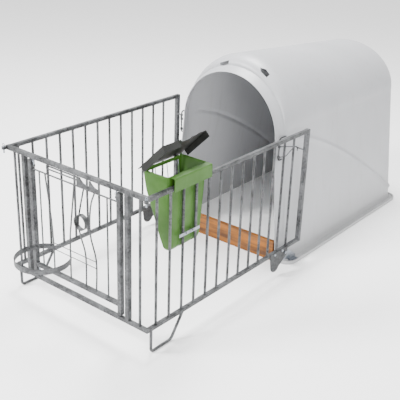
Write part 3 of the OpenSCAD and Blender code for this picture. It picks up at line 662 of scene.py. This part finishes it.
def bead_piece(name, points, rod_radius, bead_radius, body):
    """Weld beads round upright rods at the points, as one plain mesh that rides on the body."""
    tree = bpy.data.node_groups.get("weld_beads") or bead_tree()
    mesh = bpy.data.meshes.new(name)
    mesh.from_pydata(points, [], [])
    source = bpy.data.objects.new(name + "_points", mesh)
    bpy.context.scene.collection.objects.link(source)
    modifier = source.modifiers.new("beads", "NODES")
    modifier.node_group = tree
    named = {item.name: item.identifier
             for item in tree.interface.items_tree if item.in_out == "INPUT"}
    modifier[named["Rod radius"]] = rod_radius
    modifier[named["Bead radius"]] = bead_radius
    modifier[named["Finish"]] = FINISHES["galvanised"]
    bpy.context.view_layer.update()
    evaluated = source.evaluated_get(bpy.context.evaluated_depsgraph_get())
    baked = bpy.data.meshes.new_from_object(evaluated)
    bpy.data.objects.remove(source)
    obj = bpy.data.objects.new(name, baked)
    bpy.context.scene.collection.objects.link(obj)
    baked.shade_smooth()
    outward(obj)
    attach(obj, body)
    return obj


def rod_places(name):
    """The (x, y) of each upright rod of a node, from where its points gather."""
    reach = 0.02
    found = []
    for vertex in nodes[name].data.vertices:
        x, y = vertex.co.x, vertex.co.y
        near = next((f for f in found
                     if math.hypot(f[0] / f[2] - x, f[1] / f[2] - y) < reach), None)
        if near:
            near[0] += x
            near[1] += y
            near[2] += 1
        else:
            found.append([x, y, 1])
    return [(f[0] / f[2], f[1] / f[2]) for f in found]


class HUTCH_OT_welds(bpy.types.Operator):
    """Puts weld beads where the bars meet the rails"""
    bl_idname = "hutch.welds"
    bl_label = "Weld beads"

    def execute(self, context):
        sizes = context.scene.hutch_run
        for name in ("left_bars", "right_bars", "front_end_bars"):
            low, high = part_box(name)
            ends = [(x, y, z) for x, y in rod_places(name) for z in (low[2] + MM, high[2] - MM)]
            bead_piece("welds_" + name, ends, BAR_RADIUS, sizes.bead, "run")
        return {"FINISHED"}


# ---------- hay rack ----------

class HUTCH_OT_rack(bpy.types.Operator):
    """Builds the hay rack with its grooves, its open side and the lip over the rail"""
    bl_idname = "hutch.rack"
    bl_label = "Hay rack"

    ROWS = 60
    HEIGHT = RACK_RIM - RACK_LOW[2]
    OUT_X = RACK_HIGH[0] - 38 * MM
    LENGTH = 338 * MM
    TAPER = 46 * MM
    DEPTH = OUT_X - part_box("lid_hinge_rod")[0][0]
    FOOT = 0.357 * DEPTH
    END_FOOT = 34 * MM
    SLOPE = ((0, 0.375), (34, 0.43), (70, 0.5), (362, 0.94), (480, 1.0))
    SIDES = (72, 16, 44, 16)
    CORNER_STEPS = 6
    CORNER = 15 * MM
    ROW_CROWDING = 1.3
    GROOVE_HALF = 14 * MM
    GROOVE_RISE, GROOVE_RUN_OUT = 70 * MM, 60 * MM
    GROOVE_NEAR, GROOVE_FAR = 0.07, 0.05
    OPEN_BOTTOM, OPEN_TOP, OPEN_MARGIN = 62 * MM, 30 * MM, 3
    LIP_ROUND = 9 * MM
    LIP_DROP = 80 * MM
    LIP_INSET = 16 * MM
    EAR_HALF = 4.5 * MM
    EAR_ROOT = 14 * MM
    EAR_LENGTH = 8 * MM
    EAR_NEAR, EAR_FAR = 12 * MM, 20 * MM

    def spans(self, h):
        """The rack's extent in x and y at the height h above its bottom."""
        lean = max(0.0, 1 - h / self.FOOT)
        x1 = self.OUT_X - self.FOOT * (1 - math.sqrt(max(0.0, 1 - lean ** 2)))
        for (h0, d0), (h1, d1) in zip(self.SLOPE, self.SLOPE[1:]):
            if h <= h1 * MM or h1 == self.SLOPE[-1][0]:
                x0 = self.OUT_X - (d0 + (d1 - d0) * (h / MM - h0) / (h1 - h0)) * self.DEPTH
                break
        low = max(0.0, 1 - h / self.END_FOOT)
        inset = self.TAPER * min(1.0, (self.HEIGHT - h) / (self.HEIGHT - self.END_FOOT))
        inset += self.END_FOOT * (1 - math.sqrt(max(0.0, 1 - low ** 2)))
        return x0, x1, RACK_LOW[1] + inset, RACK_LOW[1] + self.LENGTH - inset

    def ring(self, h, bars, depth):
        """One outline, counter-clockwise from the outer side's near end."""
        x0, x1, y0, y1 = self.spans(h)
        r = min(self.CORNER, 0.45 * (x1 - x0))
        corners = ((x1 - r, y1 - r, 0), (x0 + r, y1 - r, 90),
                   (x0 + r, y0 + r, 180), (x1 - r, y0 + r, 270))
        shallow = min(1.0, h / self.GROOVE_RISE) * min(1.0, (self.HEIGHT - h) / self.GROOVE_RUN_OUT)
        loop = []
        here = Vector((x1, y0 + r))
        for (cx, cy, turn), count in zip(corners, self.SIDES):
            start = math.radians(turn)
            there = Vector((cx + r * math.cos(start), cy + r * math.sin(start)))
            for step in range(count):
                p = here.lerp(there, step / count)
                if turn == 0:
                    p.x -= depth * shallow * sum(math.exp(-((p.y - bar) / self.GROOVE_HALF) ** 6)
                                                 for bar in bars)
                loop.append((p.x, p.y, RACK_LOW[2] + h))
            for step in range(self.CORNER_STEPS):
                a = math.radians(turn + 90 * step / self.CORNER_STEPS)
                loop.append((cx + r * math.cos(a), cy + r * math.sin(a), RACK_LOW[2] + h))
            end = math.radians(turn + 90)
            here = Vector((cx + r * math.cos(end), cy + r * math.sin(end)))
        return loop

    def execute(self, context):
        sizes = context.scene.hutch_rack
        near, far = RACK_LOW[1] + self.GROOVE_NEAR, RACK_LOW[1] + self.LENGTH - self.GROOVE_FAR
        bars = [y for _, y in rod_places("right_bars") if near < y < far]
        rows = [self.ring(self.HEIGHT * (i / self.ROWS) ** self.ROW_CROWDING, bars, sizes.groove)
                for i in range(self.ROWS + 1)]
        columns = len(rows[0])
        points = [p for row in rows for p in row]
        first = self.SIDES[0] + self.SIDES[1] + 2 * self.CORNER_STEPS
        pen_side = range(first + self.OPEN_MARGIN, first + self.SIDES[2] - self.OPEN_MARGIN)
        faces = [tuple(reversed(range(columns)))]
        for i in range(self.ROWS):
            for k in range(columns):
                h = points[i * columns + k][2] - RACK_LOW[2]
                if k in pen_side and self.OPEN_BOTTOM < h < self.HEIGHT - self.OPEN_TOP:
                    continue
                a, b = i * columns + k, i * columns + (k + 1) % columns
                faces.append((a, b, b + columns, a + columns))
        obj = mesh_piece("hay_rack", points, faces, "rack_green", "run")
        wall = obj.modifiers.new("wall", "SOLIDIFY")
        wall.thickness = sizes.wall
        wall.offset = -1.0
        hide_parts("rack_body")
        self.lip(sizes.wall)
        self.ears()
        return {"FINISHED"}

    def lip(self, wall):
        """The folded lip that reaches over the top rail and down outside it."""
        round_x, round_z = RACK_HIGH[0] - self.LIP_ROUND, RACK_RIM - self.LIP_ROUND
        inner_x, low_z = self.OUT_X - wall, RACK_RIM - self.LIP_DROP

        def bend(r):
            return [(round_x + r * math.cos(a), round_z + r * math.sin(a))
                    for a in (math.radians(90 - 15 * step) for step in range(7))]
        outer = [(inner_x, RACK_RIM), *bend(self.LIP_ROUND), (RACK_HIGH[0], low_z)]
        inner = [(inner_x, RACK_RIM - wall), *bend(self.LIP_ROUND - wall),
                 (RACK_HIGH[0] - wall, low_z)]
        outline = outer + inner[::-1]
        obj = self.prism("rack_lip", outline, (RACK_LOW[1] + self.LIP_INSET,),
                         self.LENGTH - self.LIP_INSET)
        edge = obj.modifiers.new("edge", "BEVEL")
        edge.width = 1.5 * MM
        edge.segments = 2
        edge.limit_method = "ANGLE"
        edge.angle_limit = math.radians(50)

    def prism(self, name, outline, places, length):
        """Closed prisms along y with one (x, z) outline, each starting at a place."""
        points, faces = [], []
        count = len(outline)
        for near in places:
            start = len(points)
            for side in (near, near + length):
                points += [(x, side, z) for x, z in outline]
            faces += [(start + i, start + (i + 1) % count, start + count + (i + 1) % count,
                       start + count + i) for i in range(count)]
            faces += [tuple(start + i for i in range(count)),
                      tuple(start + count + i for i in reversed(range(count)))]
        obj = mesh_piece(name, points, faces, "rack_green", "run", smooth=False)
        outward(obj)
        return obj

    def ears(self):
        """Two small ears on the rim that hold the lid's hinge rod."""
        low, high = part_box("lid_hinge_rod")
        cx, cz = (low[0] + high[0]) / 2, (low[2] + high[2]) / 2
        half, root = self.EAR_HALF, RACK_RIM - self.EAR_ROOT
        outline = [(cx - half, root), (cx + half, root)]
        outline += [(cx + half * math.cos(a), cz + half * math.sin(a))
                    for a in (math.radians(20 * i) for i in range(10))]
        near = RACK_LOW[1] + self.EAR_NEAR
        far = RACK_LOW[1] + self.LENGTH - self.EAR_FAR
        self.prism("rack_ears", outline, (near, far), self.EAR_LENGTH)


# ---------- stage ----------

class HUTCH_OT_stage(bpy.types.Operator):
    """Lays the pale floor, the studio light and the camera"""
    bl_idname = "hutch.stage"
    bl_label = "Stage"

    POSITION = (3.069, PANEL_Y - 2.720, 2.605)
    YAW, PITCH, ROLL = 37.82, 23.80, 2.27
    LENS = 69.75
    SHIFT = (-0.0173, 0.0006)
    FLOOR_HALF = 14.0
    FLOOR_TONE = (0.97, 0.97, 0.97, 1.0)
    SKY_STRENGTH = 1.5
    LAMP_AIM = (0.0, -0.3, 0.5)
    # Name, place, width in metres and power in watts.
    LAMPS = (
        ("key", (-3.0, -5.0, 5.0), 2.0, 900.0),
        ("fill", (5.0, -4.0, 3.0), 3.0, 330.0),
        ("top", (-1.0, 1.5, 6.0), 2.5, 700.0),
    )

    def camera(self, scene):
        """Sets the camera from its place, its three turns and its lens."""
        yaw, pitch, roll = (math.radians(a) for a in (self.YAW, self.PITCH, self.ROLL))
        ahead = Vector((-math.sin(yaw) * math.cos(pitch), math.cos(yaw) * math.cos(pitch),
                        -math.sin(pitch)))
        level = Vector((math.cos(yaw), math.sin(yaw), 0.0))
        upright = level.cross(ahead)
        right = math.cos(roll) * level + math.sin(roll) * upright
        up = -math.sin(roll) * level + math.cos(roll) * upright
        data = bpy.data.cameras.new("camera")
        data.lens = self.LENS
        data.sensor_width = 36.0
        data.shift_x, data.shift_y = self.SHIFT
        data.clip_end = 100.0
        obj = bpy.data.objects.new("camera", data)
        turn = Matrix((right, up, -ahead)).transposed().to_4x4()
        obj.matrix_world = Matrix.Translation(self.POSITION) @ turn
        scene.collection.objects.link(obj)
        scene.camera = obj

    def lamp(self, scene, name, place, size, power):
        """One soft round lamp aimed at the run."""
        data = bpy.data.lights.new(name, "AREA")
        data.shape = "DISK"
        data.size = size
        data.energy = power
        obj = bpy.data.objects.new(name, data)
        obj.location = place
        aim = Vector(self.LAMP_AIM) - Vector(place)
        obj.rotation_euler = aim.to_track_quat("-Z", "Y").to_euler()
        scene.collection.objects.link(obj)

    def execute(self, context):
        scene = context.scene
        half = self.FLOOR_HALF
        corners = [(-half, -half, 0), (half, -half, 0), (half, half, 0), (-half, half, 0)]
        mesh = bpy.data.meshes.new("floor")
        mesh.from_pydata(corners, [], [(0, 1, 2, 3)])
        floor = bpy.data.objects.new("floor", mesh)
        scene.collection.objects.link(floor)
        paint, _, shader, _ = finish_tree("floor_paint")
        shader.inputs["Base Color"].default_value = self.FLOOR_TONE
        shader.inputs["Roughness"].default_value = 0.9
        mesh.materials.append(paint)
        world = bpy.data.worlds.new("studio")
        world.use_nodes = True
        backdrop = world.node_tree.nodes["Background"]
        backdrop.inputs["Color"].default_value = (1.0, 1.0, 1.0, 1.0)
        backdrop.inputs["Strength"].default_value = self.SKY_STRENGTH
        scene.world = world
        for lamp in self.LAMPS:
            self.lamp(scene, *lamp)
        self.camera(scene)
        return {"FINISHED"}


class HUTCH_PT_panel(bpy.types.Panel):
    """Lists the steps that build the hutch"""
    bl_idname = "HUTCH_PT_panel"
    bl_label = "Calf hutch"
    bl_space_type = "VIEW_3D"
    bl_region_type = "UI"
    bl_category = "Hutch"

    def draw(self, context):
        for step in STEPS:
            self.layout.operator(step.bl_idname)
        for group in ("hutch_moulding", "hutch_run", "hutch_rack"):
            owner = getattr(context.scene, group)
            for prop in type(owner).__annotations__:
                self.layout.prop(owner, prop)


STEPS = (HUTCH_OT_finishes, HUTCH_OT_edges, HUTCH_OT_moulding, HUTCH_OT_welds, HUTCH_OT_rack, HUTCH_OT_stage)
GROUPS = {
    "hutch_moulding": HutchMouldingSizes,
    "hutch_run": HutchRunSizes,
    "hutch_rack": HutchRackSizes,
}


def register():
    for group, kind in GROUPS.items():
        bpy.utils.register_class(kind)
        setattr(bpy.types.Scene, group, PointerProperty(type=kind))
    for kind in (*STEPS, HUTCH_PT_panel):
        bpy.utils.register_class(kind)


def unregister():
    for kind in (HUTCH_PT_panel, *reversed(STEPS)):
        bpy.utils.unregister_class(kind)
    for group, kind in GROUPS.items():
        delattr(bpy.types.Scene, group)
        bpy.utils.unregister_class(kind)


def main():
    register()
    for step in STEPS:
        area, name = step.bl_idname.split(".")
        getattr(getattr(bpy.ops, area), name)()


if __name__ == "__main__":
    main()
